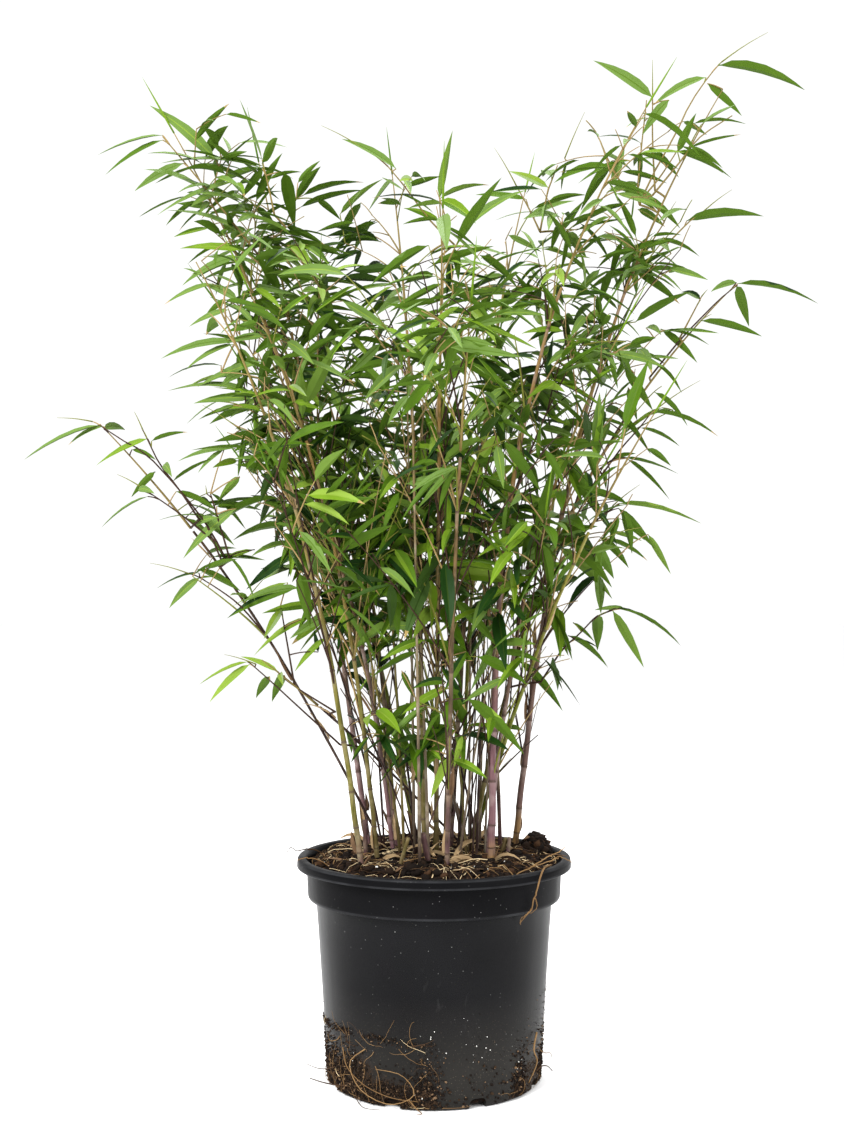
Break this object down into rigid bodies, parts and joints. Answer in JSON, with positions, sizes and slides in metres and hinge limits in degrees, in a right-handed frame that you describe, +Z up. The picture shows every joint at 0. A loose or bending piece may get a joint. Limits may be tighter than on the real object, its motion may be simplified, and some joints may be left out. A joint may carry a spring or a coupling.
{
  "type": "potted bamboo",
  "caption": "Clump-forming bamboo with slim leaning canes and arching leafy branches, standing in a round black plastic nursery pot filled with compost.",
  "frame": {"origin": "middle of the pot's flat underside", "axes": "+Z straight up; -Y towards the viewer of the picture; +X to the viewer's right"},
  "size_m": [0.6659, 0.4919, 0.8626],
  "materials": {
    "pot_plastic": "black moulded plastic, slightly glossy, dusty, with dried compost near the foot",
    "compost": "dark brown coarse compost with fibres, bark chips and pale roots",
    "culm_bark": "smooth olive, mauve and straw-coloured canes with a pale bloom and dark node rings",
    "foliage": "fresh green lance-shaped leaves, paler underneath, on thin brown twigs"
  },
  "bodies": {
    "root": {"pot": "pot_plastic", "compost": "compost", "culm_01": "culm_bark", "culm_02": "culm_bark", "culm_03": "culm_bark", "culm_04": "culm_bark", "culm_05": "culm_bark", "culm_06": "culm_bark", "culm_07": "culm_bark", "culm_08": "culm_bark", "culm_09": "culm_bark", "culm_10": "culm_bark", "culm_11": "culm_bark", "culm_12": "culm_bark", "culm_13": "culm_bark", "culm_14": "culm_bark", "culm_15": "culm_bark", "culm_16": "culm_bark", "culm_17": "culm_bark", "culm_18": "culm_bark", "culm_19": "culm_bark", "culm_20": "culm_bark", "top_01": "foliage", "top_02": "foliage", "top_03": "foliage", "top_04": "foliage", "top_05": "foliage", "top_06": "foliage", "top_07": "foliage", "top_08": "foliage", "top_09": "foliage", "top_10": "foliage", "top_11": "foliage", "top_12": "foliage", "top_13": "foliage", "top_14": "foliage", "top_15": "foliage", "top_16": "foliage", "top_17": "foliage", "top_18": "foliage", "top_19": "foliage", "top_20": "foliage", "branch_01": "foliage", "branch_02": "foliage", "branch_03": "foliage", "branch_04": "foliage", "branch_05": "foliage", "branch_06": "foliage", "branch_07": "foliage", "branch_08": "foliage", "branch_09": "foliage", "branch_10": "foliage", "branch_11": "foliage", "branch_12": "foliage", "branch_13": "foliage", "branch_14": "foliage", "branch_15": "foliage", "branch_16": "foliage", "branch_17": "foliage", "branch_18": "foliage"}
  },
  "joints": []
}
